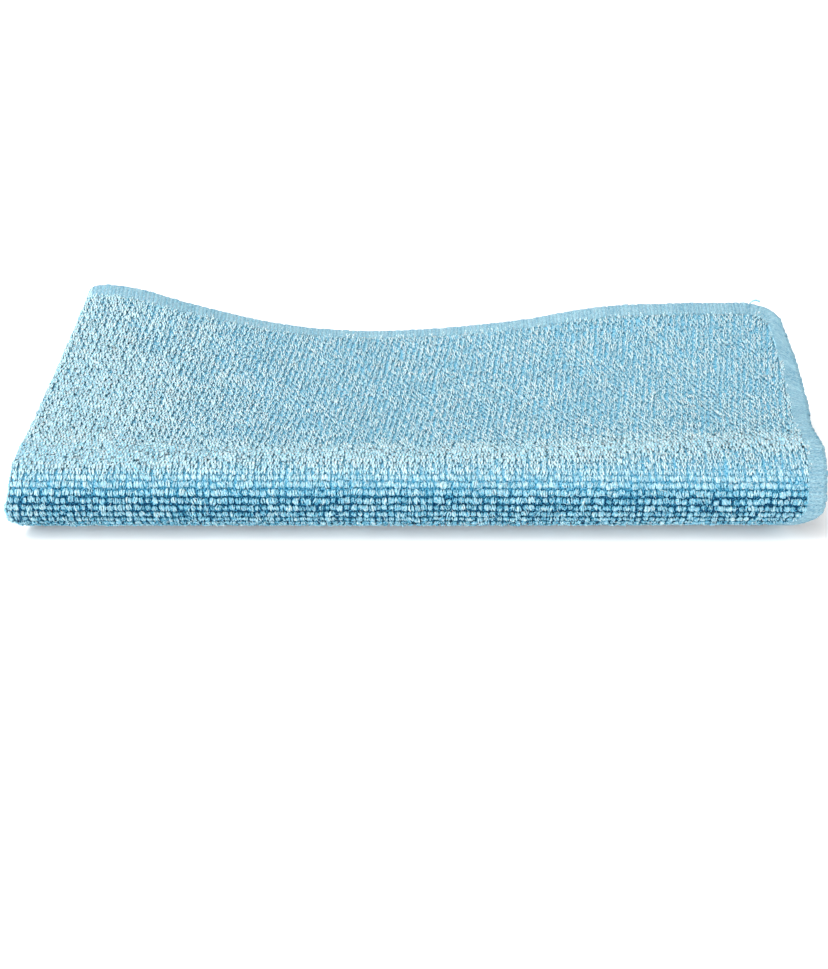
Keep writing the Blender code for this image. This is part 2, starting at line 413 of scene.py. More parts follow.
# %% [markdown]
# Rows of loops are evenly spaced on the cloth itself, so they need lengths measured along each
# layer, not along the middle of the folds. The lengths start at the foot of the front fold, where
# the photograph shows the rows level, and count backwards over the top as numbers below 0.

# %% Lengths along a layer
FOOT = int(np.searchsorted(ALONG, 2.0))
LENGTH_STEP = 0.0005
BEFORE_END = 1.001  # a reading stops this many steps before the end of a table


def layer_lengths(sign):
    """Even lengths along the upper (1) or lower (-1) layer, and the run of each at every place."""
    steps = np.linalg.norm(np.diff(LINES + sign * MIDDLE * OUTS, axis=1), axis=2)
    lengths = np.concatenate([np.zeros((len(PLACES), 1)), np.cumsum(steps, axis=1)], 1)
    lengths -= lengths[:, FOOT:FOOT + 1]
    even = np.arange(lengths[:, 0].min(), lengths[:, -1].max(), LENGTH_STEP)
    return even, np.array([np.interp(even, row, RUN) for row in lengths])


LENGTHS = {sign: layer_lengths(sign) for sign in (1, -1)}


def run_of(x, length, sign=1):
    """The run that lies at x and at a length along the layer."""
    even, runs = LENGTHS[sign]
    at = np.clip((x - PLACES[0]) / (PLACES[1] - PLACES[0]), 0, len(PLACES) - BEFORE_END)
    i = at.astype(int)
    where = np.clip((length - even[0]) / LENGTH_STEP, 0, len(even) - BEFORE_END)
    j = where.astype(int)
    s, t = at - i, where - j
    near = (1 - s) * runs[i, j] + s * runs[i + 1, j]
    far = (1 - s) * runs[i, j + 1] + s * runs[i + 1, j + 1]
    return (1 - t) * near + t * far


print("upper layer from", LENGTHS[1][0][0].round(3), "to", LENGTHS[1][0][-1].round(3), "m")

# %% [markdown]
# ## Meshes from arrays
# Every piece here has many points, so its mesh is filled from arrays, which is far quicker than
# adding faces one at a time. Each point also keeps numbers that its material reads: rise, from 0
# at the foot of a loop to 1 at its tip, which paints shade that is darkest at the foot and light at
# the tip, tone, a little lighter or darker from loop to loop, and yarn, a place on the thread.

# %% A helper that makes a mesh object
def faced_out(points, faces):
    """The faces of closed shapes, turned round if they look inward, as a volume below 0 tells."""
    corners = points[faces]
    last = faces.shape[1] - 1
    volume = sum(
        np.sum(corners[:, 0] * np.cross(corners[:, i], corners[:, i + 1])) for i in range(1, last)
    )
    return faces if volume > 0 else faces[:, ::-1]


def mesh_object(name, points, faces, numbers, yarn):
    """An object of quads or triangles, with the named numbers of each point."""
    mesh = bpy.data.meshes.new(name)
    faces = faced_out(points, np.asarray(faces, np.int32))
    mesh.vertices.add(len(points))
    mesh.vertices.foreach_set("co", np.asarray(points, np.float32).ravel())
    mesh.loops.add(faces.size)
    mesh.loops.foreach_set("vertex_index", faces.ravel())
    mesh.polygons.add(len(faces))
    mesh.polygons.foreach_set("loop_start", np.arange(0, faces.size, faces.shape[1], dtype=np.int32))
    for label, values in numbers.items():
        kept = mesh.attributes.new(label, "FLOAT", "POINT")
        kept.data.foreach_set("value", np.asarray(values, np.float32).ravel())
    place = mesh.attributes.new("yarn", "FLOAT_VECTOR", "POINT")
    place.data.foreach_set("vector", np.asarray(yarn, np.float32).ravel())
    mesh.update(calc_edges=True)
    mesh.validate()
    mesh.shade_smooth()
    thing = bpy.data.objects.new(name, mesh)
    bpy.context.collection.objects.link(thing)
    return thing


print("numbers of each point: rise, tone and yarn")

# %% [markdown]
# ## The ground of the cloth
# The knitted ground is a closed sheet on the folds. It is thinner than the imported solid where
# loops stand on it, and as thick as the solid in the hem. Where loops stand on it, it is painted in
# the deep shade of a loop's foot, lifted where it faces up. A plane with Solidify would lose the
# hem's step, so the sheet's section is written out: one side from the upper layer's hem round the
# left fold to the lower layer's hem, and the other side back again.

# %% The sheet
LOOP_RISE = 0.00095  # how far loops stand above the ground
GROUND_RISE = LAYER / 2 - LOOP_RISE  # the ground's outside, from the middle of the layer
SHEET_ACROSS = np.linspace(0.0, 1.0, 75)[1:-1]  # its points across, as shares of the width
SHEET_ROUND = 15  # and round the left fold
FULL_THICK = 0.99  # from this share of the layer's thickness up, loops stand on the sheet
OUT_STEP = 0.0001  # the step outward that shows where the sheet faces
HEM_RISE = 0.85  # tone of the hem between a loop's foot, 0, and its tip, 1
INNER_RISE = 0.60  # and of the cloth's other face
VEIL_TOP = 0.46  # how far the painted shade in the gaps is lifted where the pile faces straight up
VEIL_FROM = 0.2  # how far up it must face before the lift begins


def gap_shade_lift(out_z):
    """How far the painted shade in the pile's gaps is lifted, 0 to 1, where it faces up by out_z.

    On a level pass the pile lies brushed over and its fibres hide the gaps, and round the front fold
    it opens."""
    t = np.clip((out_z - VEIL_FROM) / (1 - VEIL_FROM), 0, 1)
    return VEIL_TOP * t**2 * (3 - 2 * t)


def sheet_section():
    """Share across, metres in from there, and share of thickness, from the hem to the fold."""
    hem = [(1.0, 0.0, TIP_THIN), (1.0, TIP, HEM_THIN), (1.0, HEM, HEM_THIN), (1.0, HEM + STEP, 1.0)]
    return np.array(hem + [(share, 0.0, 1.0) for share in SHEET_ACROSS[::-1]])


def face_height(thin, outward):
    """Height of either face above the middle of the layer, by its share of thickness."""
    if outward < 0:
        return -LAYER * thin / 2
    return np.where(thin > FULL_THICK, GROUND_RISE, LAYER * thin / 2)


def sheet_face(outward):
    """Points of one face of the sheet, as sections x points x 3, and their rise, which paints shade.
    """
    share, inset, thin = sheet_section().T
    ends = np.ones(len(RUN))
    ends[:3] = (TIP_THIN, HEM_THIN, HEM_THIN)
    ends[-3:] = (HEM_THIN, HEM_THIN, TIP_THIN)
    flat = across_at(LEFT + HALF, RUN)[:, None] + share * (RIGHT - LEFT - HALF)[:, None] - inset
    bend = np.linspace(QUARTER, -QUARTER, SHEET_ROUND)
    across = np.concatenate([flat, np.tile(bend, (len(RUN), 1)), -flat[:, ::-1]], 1)
    thins = np.concatenate([thin, np.ones(SHEET_ROUND), thin[::-1]])
    thins = np.minimum(thins[None], ends[:, None])
    height = face_height(thins, outward)
    points = cloth_point(across, RUN[:, None], height)
    if outward > 0:
        above = cloth_point(across, RUN[:, None], height + OUT_STEP)
        low = gap_shade_lift((above - points)[..., 2] / OUT_STEP)
    else:
        low = INNER_RISE
    return points, np.where(thins > FULL_THICK, low, HEM_RISE), across


def tube_faces(sections, points):
    """Quads round a tube of rings, each ring being the outside and then the inside reversed."""
    ring = 2 * points
    start = ring * np.arange(sections - 1)[:, None]
    j = np.arange(ring)[None]
    k = (j + 1) % ring
    sides = np.stack([start + j, start + k, start + ring + k, start + ring + j], -1).reshape(-1, 4)
    j = np.arange(points - 1)
    cap = np.stack([j, ring - 1 - j, ring - 2 - j, j + 1], 1)
    return np.concatenate([sides, cap, (cap + (sections - 1) * ring)[:, ::-1]])


def make_sheet():
    """The ground of the cloth, as one closed mesh."""
    outside, out_painted_shade, across = sheet_face(1)
    inside, in_rise, _ = sheet_face(-1)
    rings = np.concatenate([outside, inside[:, ::-1]], 1)
    rise = np.concatenate([out_painted_shade, in_rise[:, ::-1]], 1)
    place = np.concatenate([across, across[:, ::-1]], 1)
    yarn = np.stack([place, np.broadcast_to(RUN[:, None], place.shape), np.zeros(place.shape)], -1)
    faces = tube_faces(len(rings), outside.shape[1])
    numbers = {"rise": rise, "tone": 0 * rise}
    return mesh_object("sheet", rings.reshape(-1, 3), faces, numbers, yarn.reshape(-1, 3))


sheet = make_sheet()
print("sheet:", len(sheet.data.polygons), "quads")

# %% [markdown]
# ## One strand
# A loop and an edge thread are both short fat strands, closed at both ends. A strand is modelled
# once, as a sphere with three or four sides, and then read as three numbers for each point: how
# far along it is, and its place round the strand. A tube with more sides would look the same from
# a step away and cost many times the triangles.

# %% Model the strand and read it
AT_POLE = 1e-3  # a point this close to the strand's axis is one of its two ends


def strand(rings, sides):
    """A strand with those rings, as (along, across, out) of each point, and its triangles."""
    bpy.ops.object.select_all(action="DESELECT")
    turn = (0, 0, math.pi / 2)
    bpy.ops.mesh.primitive_uv_sphere_add(segments=sides, ring_count=rings + 1, rotation=turn)
    thing = bpy.context.object
    bpy.ops.object.mode_set(mode="EDIT")
    bpy.ops.mesh.select_all(action="SELECT")
    bpy.ops.mesh.quads_convert_to_tris()
    bpy.ops.object.mode_set(mode="OBJECT")
    bpy.ops.object.transform_apply(location=False, rotation=True, scale=False)
    points = np.array([v.co for v in thing.data.vertices])
    faces = np.array([tuple(p.vertices) for p in thing.data.polygons])
    bpy.data.objects.remove(thing)
    along = np.arccos(np.clip(points[:, 2], -1, 1)) / np.pi
    radius = np.hypot(points[:, 0], points[:, 1])
    rim = np.where(radius > AT_POLE, 1.0, 0.0)
    radius = np.maximum(radius, AT_POLE)
    return np.stack([along, rim * points[:, 0] / radius, rim * points[:, 1] / radius], 1), faces


LOOP_STRAND, LOOP_FACES = strand(3, 3)
THREAD_STRAND, THREAD_FACES = strand(8, 4)
FLOOR_CLEAR = 0.00004  # the lowest that a point may lie over the floor


def repeated(faces, points, count):
    """The faces of one strand, for count strands of that many points each."""
    return (faces[None] + points * np.arange(count)[:, None, None]).reshape(-1, 3)


def off_floor(points):
    """Lifts what lies below the floor onto it."""
    points[..., 2] = np.maximum(points[..., 2], FLOOR_CLEAR)
    return points


print("loop strand:", len(LOOP_FACES), "triangles, edge thread:", len(THREAD_FACES))

# %% [markdown]
# ## The loops
# Microfibre terry has a small loop of split yarn at every stitch, in columns 1.6 mm apart and rows
# 1.9 mm apart. Each loop is an arch of four strands side by side, or of one or two where it hardly
# shows. It stands on the ground and leans a little its own way. A bump pattern would look flat on
# the front fold, where the dark gaps between the loops show, so the loops are real. On the level
# top the rows don't show, so every second strand lies half a row on. Where the pile is brushed
# flat, as along the ridge, its strands are wider and duller, and hide the gaps. Each strand is
# painted with shade towards its foot, and that painted shade is lifted where the gaps are hidden.

# %% Columns and rows
COLUMN_PITCH = 0.0016
ROW_PITCH = 0.00193
FOLD_STRETCH = 1.5  # how much longer the left fold is at its loops than at the ground
GRAIN_REACH = 0.020  # how far from the left fold the columns follow its shape
HEM_CLEAR = -0.0006  # from the side hem's inner line to the nearest loop, which lies over it
BACK_CLEAR = -0.0016  # and from that of a back edge
RUN_ROUNDS = 2  # x and run depend on each other, so they are worked out again so often


def column_places(low, high):
    """Places across of the columns, which are evenly spaced at the height of their loops."""
    first = min(FOLD_STRETCH * low, low)
    even = (np.arange(math.floor(first / COLUMN_PITCH), high / COLUMN_PITCH + 1) + 0.5) * COLUMN_PITCH
    bend = QUARTER * FOLD_STRETCH
    beyond = np.abs(even) - bend + QUARTER
    return np.where(np.abs(even) < bend, even / FOLD_STRETCH, np.sign(even) * beyond)


def lattice(first, last, low, high):
    """Places across and along the run, one for each loop between the given runs and across."""
    even = LENGTHS[1][0]
    rows = (np.arange(round(even[0] / ROW_PITCH), even[-1] / ROW_PITCH) + 0.5) * ROW_PITCH
    columns = column_places(low, high)
    across, length = (grid.ravel() for grid in np.meshgrid(columns, rows))
    run = run_of(0 * length, length)
    for _ in range(RUN_ROUNDS):
        x = np.interp(run, RUN, LEFT) + HALF + np.maximum(np.abs(across) - QUARTER, 0)
        run = run_of(x, length)
    kept = (across >= low) & (across <= high) & (run >= first) & (run < last)
    return across[kept], run[kept]


def on_grain(across, run):
    """Moves columns that lie away from the left fold back onto their straight line."""
    aside = np.interp(run, RUN, GRAIN) - np.interp(run, RUN, LEFT)
    away = np.maximum(np.abs(across) - QUARTER, 0.0)
    return across + np.sign(across) * aside * (1 - np.exp(-away / GRAIN_REACH))


def clear_of_hem(across, run):
    """True where a loop stands clear of the overlocked edges."""
    edge = across_at(np.interp(run, RUN, RIGHT), run)
    side = np.abs(across) < edge - HEM - HEM_CLEAR
    end = np.minimum(run, RUN[-1] - run) > HEM + BACK_CLEAR
    return side & end


print("columns", 1000 * COLUMN_PITCH, "mm apart, rows", round(1000 * ROW_PITCH, 2), "mm apart")

# %% Where the pile is brushed flat, and how it changes slowly
RIDGE_FLAT = 0.85  # how flat it is brushed along the ridge
RIDGE_REACH = 0.0045  # how far from the ridge
RIDGE_ABOVE = 0.013  # and only where it lies higher than this
CORNER_FLAT = 0.75  # how flat it is brushed at the left of the top
CORNER_AT = (-0.090, -0.003)  # where it is flattest there
CORNER_REACH = (0.032, 0.045)  # how far from there, across and back
CORNER_ABOVE = 0.018  # and only where it lies higher than this
DRIFT_WAVES = 7  # waves that make up a slow change
DRIFT_LENGTHS = (0.006, 0.028)  # shortest and longest of them


def matted(points):
    """How flat the pile is brushed, from 0 to 1, at each point."""
    x, y, z = points.T
    ridge = FRONT + smooth(x, column(TOP, "x"), column(TOP, "crest")) - CENTRE[1]
    band = np.exp(-(((y - ridge) / RIDGE_REACH) ** 2))
    band[z < RIDGE_ABOVE] = 0.0
    aside, behind = (x - CORNER_AT[0]) / CORNER_REACH[0], (y - CORNER_AT[1]) / CORNER_REACH[1]
    corner = np.exp(-(aside**2) - behind**2)
    corner[z < CORNER_ABOVE] = 0.0
    return np.clip(RIDGE_FLAT * band + CORNER_FLAT * corner, 0, 1)


def drift(across, run, rng):
    """A slow random change over the cloth, about -1 to 1, from a few waves in all directions."""
    total = np.zeros(len(across))
    for _ in range(DRIFT_WAVES):
        heading = rng.uniform(0, np.pi)
        length = rng.uniform(*DRIFT_LENGTHS)
        way = across * np.cos(heading) + run * np.sin(heading)
        total += np.sin(2 * np.pi * (way / length + rng.uniform()))
    return total * math.sqrt(1.0 / DRIFT_WAVES)


print("brushed flat at the left of the top:", matted(np.array([[*CORNER_AT, PILE]])).round(2))

# %% Where a loop stands
FRAME_STEP = 0.0004  # half the distance over which a loop's directions are measured


def loop_frames(across, run):
    """The foot of each loop, and its three directions: to the side, down the column and out."""
    foot = cloth_point(across, run, GROUND_RISE)
    right_of = cloth_point(across + FRAME_STEP, run, GROUND_RISE)
    side = right_of - cloth_point(across - FRAME_STEP, run, GROUND_RISE)
    after = cloth_point(across, run + FRAME_STEP, GROUND_RISE)
    down = after - cloth_point(across, run - FRAME_STEP, GROUND_RISE)
    side /= np.linalg.norm(side, axis=1)[:, None]
    out = np.cross(down, side)
    out /= np.linalg.norm(out, axis=1)[:, None]
    return foot, np.stack([side, np.cross(side, out), out], 1)


def stood_up(foot, frames, u, v, n, turn, lean):
    """Points in space of strands that turn and lean on their feet, from side, down and out."""
    local = np.stack([
        u * np.cos(turn) - v * np.sin(turn) + lean[0] * n,
        u * np.sin(turn) + v * np.cos(turn) + lean[1] * n,
        n,
    ], -1)
    return foot[:, None] + np.einsum("kij,kjc->kic", local, frames)


print("a loop's directions are measured over", 2000 * FRAME_STEP, "mm")

# %% The shape of one strand of a loop
LOOP_WIDE = 0.00116  # width of a loop
LOOP_REACH = 0.00086  # half the length of a loop where the rows show
LOOSE_REACH = 0.00072  # and on the upper pass, where its strands lie between each other
LOOP_BELLY = 0.75  # how much wider a loop is at its top than at its feet
BELLY_FROM = 0.7  # how high on its arch a loop has its plain width
ARCH_ROUND = 0.6  # how round the arch is: nearer 0 is nearer to a box
LOOSE_ROUND = 0.25  # how much nearer on the upper pass
STRAND_HIGH = 0.00030  # half the height of a strand
FOOT_SUNK = 0.00010  # how far its feet reach into the ground
LOOSE_THIN = 0.75  # how much thinner strands are on the upper pass
LOOSE_NARROW = 0.22  # and how much closer together
FLAT_THIN = 0.4  # how much thinner they are where the pile is brushed flat
FLAT_WIDE = 0.9  # how much wider there
FLAT_LONG = 0.2  # and how much longer
OUTER_SHORT = 0.16  # how much shorter the outer strands of a loop are
OUTER_LOW = 0.12  # and how much lower
SHAKE = 0.00004  # how uneven strands are


def arch(side, loose, wide, flat, rng):
    """Side, down and out of the points of one strand of each loop, before it leans.

    side is the strand's place in its loop, from -1 to 1, and wide is half the strand's width."""
    along, round_a, round_b = LOOP_STRAND.T
    bow = np.sin(np.pi * along)
    bent = -np.cos(np.pi * along)
    high = STRAND_HIGH * (1 - LOOSE_THIN * loose) * (1 - FLAT_THIN * flat)
    belly = (1 - LOOSE_NARROW * loose * (1 - flat)) * (1 + LOOP_BELLY * (bow - BELLY_FROM))
    u = side * LOOP_WIDE / 2 * belly + wide * round_a * (1 + FLAT_WIDE * flat)
    reach = LOOP_REACH + (LOOSE_REACH - LOOP_REACH) * loose
    reach = reach * (1 - OUTER_SHORT * side**2 * (1 - loose))
    v = bent * (reach * (1 + FLAT_LONG * flat) + high * round_b)
    n = (LOOP_RISE - high) * bow ** (ARCH_ROUND - LOOSE_ROUND * loose)
    n = n + high * round_b * bow**0.5 - FOOT_SUNK
    n = n * (1 - OUTER_LOW * side**2)
    return tuple(values + rng.normal(0, SHAKE, n.shape) for values in (u, v, n))


print("a loop is", 1000 * LOOP_WIDE, "mm wide and", 1000 * LOOP_RISE, "mm high")

# %% How loops differ from each other
LOOSE_FACING = (0.76, 0.95)  # how far up a loop faces where its rows begin to fade, and are gone
STRAY = 0.00011  # how far a loop stands off its place in the rows
CALM_FLAT = 0.7  # how much less loops stray where the pile is brushed flat
CALM_LOOSE = 0.35  # and on the upper pass
LEAN_SLOW = 0.16  # how far loops lean with their neighbours
LEAN_OWN = 0.20  # and how far on their own
TURN_SLOW = 0.15  # how far they turn with their neighbours
TURN_OWN = 0.15  # and how far on their own
LOOP_SIZES = (0.86, 1.12)  # smallest and largest, as a share of the usual size
FLAT_BIGGER = 0.16  # how much bigger a loop is where the pile is brushed flat
LOWER, TALLER = 0.14, 0.08  # how much lower or taller than usual a wild loop may be
FLAT_LOWER = 0.15  # how much lower it is where the pile is brushed flat
TONE_OWN = 0.6  # how much of a loop's tone is its own
TONE_SLOW = 0.6  # and how much it shares with its neighbours
GAPS_FLAT = 0.50  # how far the painted shade of the gaps is lifted where the pile is brushed flat
GAPS_FOLD = 0.45  # and round the left fold
GAPS_FOLD_REACH = 0.0035  # how far from the fold's outermost line
GAPS_DRIFT = 0.12  # how much that changes slowly over the upper pass


def lifted_gap_shade(across, run, facing, flat, loose, rng):
    """How far the painted shade in the gaps round each loop is lifted, from 0 to 1."""
    fold = np.exp(-((across / GAPS_FOLD_REACH) ** 2))
    closed = gap_shade_lift(facing) + GAPS_FLAT * flat[:, 0] + GAPS_FOLD * fold
    closed = closed + GAPS_DRIFT * loose[:, 0] * drift(across, run, rng)
    return np.clip(closed, 0, 1)[:, None]


def habits(across, run, flat, wild, calm, rng):
    """How each loop leans to the side and down, and its turn, size, height and tone."""
    count = len(across)
    slow = [drift(across, run, rng), drift(across, run, rng)]
    lean = []
    for way in slow:
        lean.append(wild * calm * (LEAN_SLOW * way + rng.normal(0, LEAN_OWN, count))[:, None])
    turn = wild * calm * (TURN_SLOW * slow[0] + rng.normal(0, TURN_OWN, count))[:, None]
    size = rng.uniform(*LOOP_SIZES, (count, 1)) * (1 + FLAT_BIGGER * flat)
    lowest, tallest = 1 - LOWER * wild, 1 + TALLER * wild
    tall = rng.uniform(lowest, tallest, (count, 1)) * (1 - FLAT_LOWER * flat)
    tone = TONE_OWN * rng.normal(0, 1, (count, 1)) + TONE_SLOW * drift(across, run, rng)[:, None]
    return lean, turn, size, tall, tone


print("a loop leans by about", LEAN_OWN, "of its height on its own")

# %% Loops from their places
STRAND_SHARE = 0.80  # half the width of a strand, as a share of its part of the loop
STRAND_MOST = 0.00060  # and the most it may be
STRAND_ASIDE = 0.12  # how far a strand stands off its place in the loop
STRAND_TURN = 0.20  # how far it turns on its own
STRAND_SIZES = (0.90, 1.10)  # smallest and largest, as a share of its loop's size
STRAND_TALLS = (0.88, 1.08)  # lowest and tallest, as a share of its loop's height
FLAT_EVEN = 0.6  # how much less heights differ where the pile is brushed flat
FELT_DULL = 0.28  # how much duller than a loop's tip the pile is where it is brushed flat
SHADE_RISE_POWER = 1.3  # above 1 the painted shade on a loop's side reaches further up
YARN_APART = 0.003  # how far apart on the yarn the strands of a loop are


def make_loops(name, across, run, strands, wild, rng):
    """Loops at those places, each an arch of one or more strands, as one mesh."""
    across = on_grain(across, run)
    kept = clear_of_hem(across, run)
    across, run = across[kept], run[kept]
    count = len(across)
    across = across + rng.normal(0, STRAY * wild, count)
    run = run + rng.normal(0, STRAY * wild, count)
    foot, frames = loop_frames(across, run)
    flat = matted(foot)[:, None]
    facing = frames[:, 2, 2]
    first, last = LOOSE_FACING
    loose = np.clip((facing - first) / (last - first), 0, 1)[:, None]
    closed = lifted_gap_shade(across, run, facing, flat, loose, rng)
    calm = (1 - CALM_FLAT * flat) * (1 - CALM_LOOSE * loose)
    lean, loop_turn, loop_size, loop_tall, loop_tone = habits(across, run, flat, wild, calm, rng)
    wide = min(STRAND_SHARE * LOOP_WIDE / strands, STRAND_MOST)
    pieces, painted_shade_levels, tones, yarns = [], [], [], []
    for number in range(strands):
        side = (2 * number + 1) / strands - 1 + rng.normal(0, STRAND_ASIDE, (count, 1))
        turn = loop_turn + wild * calm * rng.normal(0, STRAND_TURN, (count, 1))
        size = loop_size * rng.uniform(*STRAND_SIZES, (count, 1))
        u, v, n = (size * values for values in arch(side, loose, wide, flat, rng))
        tall = loop_tall * rng.uniform(*STRAND_TALLS, (count, 1))
        n = n * (1 + (tall - 1) * (1 - FLAT_EVEN * flat))
        v = v + loose * (number % 2) * ROW_PITCH / 2
        pieces.append(stood_up(foot, frames, u, v, n, turn, lean))
        # rise paints shade, dark at a strand's foot and light at its tip, and is lifted where gaps
        # are hidden
        rise = np.clip(n / LOOP_RISE, 0, 1) ** SHADE_RISE_POWER
        painted_shade_levels.append(rise + closed * (1 - FELT_DULL * flat - rise))
        tones.append(calm * (loop_tone + rng.normal(0, 1, (count, 1))) + 0 * n)
        yarns.append(np.stack([u + across[:, None], v + run[:, None], n + YARN_APART * number], -1))
    points = off_floor(np.concatenate(pieces).reshape(-1, 3))
    faces = repeated(LOOP_FACES, len(LOOP_STRAND), count * strands)
    numbers = {"rise": np.concatenate(painted_shade_levels), "tone": np.concatenate(tones)}
    return mesh_object(name, points, faces, numbers, np.concatenate(yarns).reshape(-1, 3))


print("a strand of four is", round(2000 * STRAND_SHARE * LOOP_WIDE / 4, 2), "mm wide")

# %% Make the pile, part by part
LOOP_SEED = 11
ROUND_SIDE = -QUARTER  # loops of the visible side go this far round the left fold
FULL = 0.25  # more than the width of the folded cloth
MID = 0.1025  # the middle of the folded cloth, across
INNER_SIDE = 0.0048  # how far to both sides of the left fold the loops of the inner passes go
UNDER_SIDE = -0.0056  # how far those of the outer passes go on past ROUND_SIDE

rng = np.random.default_rng(LOOP_SEED)
ridge_run, ground_run, back_run, lower_run = (PART_STARTS[n] for n in (1, 2, 3, 4))
PILE_PARTS = (
    ("name", "first", "last", "low", "high", "strands", "wild"),
    ("top_pile_left", 0.0, ridge_run, ROUND_SIDE, MID, 4, 0.9),
    ("top_pile_right", 0.0, ridge_run, MID, FULL, 4, 0.9),
    ("front_pile", ridge_run, ground_run, ROUND_SIDE, FULL, 4, 0.9),
    ("under_pile", ground_run, back_run, ROUND_SIDE, FULL, 1, 0.5),
    ("back_pile", back_run, lower_run, ROUND_SIDE, FULL, 2, 1.0),
    ("inner_fold_pile", lower_run, RUN[-1], -INNER_SIDE, INNER_SIDE, 2, 0.7),
    ("left_fold_pile", 0.0, lower_run, UNDER_SIDE, ROUND_SIDE, 2, 0.7),
)
piles = []
for name, first, last, low, high, *shape in PILE_PARTS[1:]:
    places = lattice(first, last, low, high)
    piles.append(make_loops(name, *places, *shape, rng))
    print(name, len(piles[-1].data.polygons), "triangles")

# %% [markdown]
# Some fibres of the split yarn stand out of the loops. They are thin and short, and against the
# light floor they break the outline. A hair system could grow them, but the same strand in a joined
# mesh stays where it is put.

# %% Loose fibres
FIBRE_COUNT = 5200  # places that are tried, those that face the floor are left out
FIBRE_WIDE = 0.00006  # half the width of a fibre
FIBRE_REACH = (0.0004, 0.0011)  # half its length
FIBRE_RISE = (0.95, 1.50)  # its top, as a share of the loops' height
FIBRE_FOOT = 0.00045  # height of its ends over the ground
FIBRE_LEAN = 0.4  # how far it leans, as a share of its height
FIBRE_TONE = 0.8  # its colour between a loop's foot, 0, and its tip, 1
FIBRE_FACING = -0.6  # below this the cloth faces the floor, and no fibre stands out
FIBRE_SEED = 23


def make_fibres(name, count, rng):
    """Thin arches that stand out of the pile on all sides of the folded cloth."""
    run = rng.uniform(HEM, PART_STARTS[4], count)
    across = rng.uniform(-QUARTER, across_at(np.interp(run, RUN, RIGHT), run) - HEM)
    foot, frames = loop_frames(across, run)
    seen = frames[:, 2, 2] > FIBRE_FACING
    foot, frames, count = foot[seen], frames[seen], int(seen.sum())
    along, round_a, round_b = LOOP_STRAND.T
    bow = np.sin(np.pi * along)
    reach = rng.uniform(*FIBRE_REACH, (count, 1))
    rise = LOOP_RISE * rng.uniform(*FIBRE_RISE, (count, 1)) - FIBRE_FOOT
    turn = rng.uniform(0, 2 * np.pi, (count, 1))
    lean = rng.normal(0, FIBRE_LEAN, (2, count, 1))
    n = FIBRE_FOOT + rise * bow + FIBRE_WIDE * round_b
    u = FIBRE_WIDE * round_a + 0 * n
    v = -reach * np.cos(np.pi * along)
    points = off_floor(stood_up(foot, frames, u, v, n, turn, lean).reshape(-1, 3))
    faces = repeated(LOOP_FACES, len(along), count)
    numbers = {"rise": FIBRE_TONE + 0 * n, "tone": rng.normal(0, 1, (count, 1)) + 0 * n}
    return mesh_object(name, points, faces, numbers, np.stack([u, v, n], -1).reshape(-1, 3))


piles.append(make_fibres("loose_fibres", FIBRE_COUNT, np.random.default_rng(FIBRE_SEED)))
print("loose fibres:", len(piles[-1].data.polygons), "triangles")

# %% [markdown]
# ## The overlocked edge
# An overlock machine binds the cut edge with bulky threads that go over it side by side. Each
# thread is the strand again, laid from the inner line of the hem, over the edge and back on the
# other side. Every second one stands a little further out, which gives the edge its scallops.

# %% Sizes of the threads
THREAD_PITCH = 0.00105  # from one thread to the next
THREAD_WIDE = 0.00085  # half the width of a thread, enough for each to lie on the next
THREAD_HIGH = 0.00010  # half its height
THREAD_SIZES = (0.9, 1.1)  # thinnest and thickest, as a share of the usual size
THREAD_IN = 0.00008  # how unevenly threads reach in from the edge
THREAD_ASIDE = 0.00005  # and how unevenly they are spaced
SCALLOP = 0.00022  # how much further out every second thread stands
SCALLOP_SHARP = 6  # the higher this is, the nearer to the very edge it does so
THREAD_RISE = 0.80  # its colour between a loop's foot, 0, and its tip, 1
THREAD_ROUND_SHADE = 0.20  # painted light on its outside and painted shade on its inside
HEM_FACE = LAYER * HEM_THIN / 2  # from the middle of the layer to the face of its hem

# The way of a thread from the hem's inner line to the middle of the edge: inset from the edge,
# height as a share of HEM_FACE, and how steeply its outside looks up, in degrees. The way back
# mirrors it.
WRAP = (
    ("inset", "height", "turn"),
    (HEM + 0.0004, 0.95, 90),
    (HEM, 1.03, 90),
    (0.0024, 1.07, 90),
    (TIP, 1.06, 80),
    (-0.00015, 0.45, 30),
)
print("threads", 1000 * THREAD_PITCH, "mm apart, over a hem", 2000 * HEM_FACE, "mm thick")

# %% A thread round the edge
def wrap(along, out):
    """Inset from the edge and height over the layer's middle, for places along a thread."""
    inset, height, turn = (column(WRAP, name) for name in WRAP[0])
    inset = np.concatenate([inset, inset[::-1]])
    height = np.concatenate([height, -height[::-1]])
    turn = np.radians(np.concatenate([turn, -turn[::-1]]))
    stations = np.linspace(0, 1, len(inset))
    angle = np.interp(along, stations, turn)
    inset_at = np.interp(along, stations, inset) - out * np.cos(angle)
    return inset_at, np.interp(along, stations, height) * HEM_FACE + out * np.sin(angle)


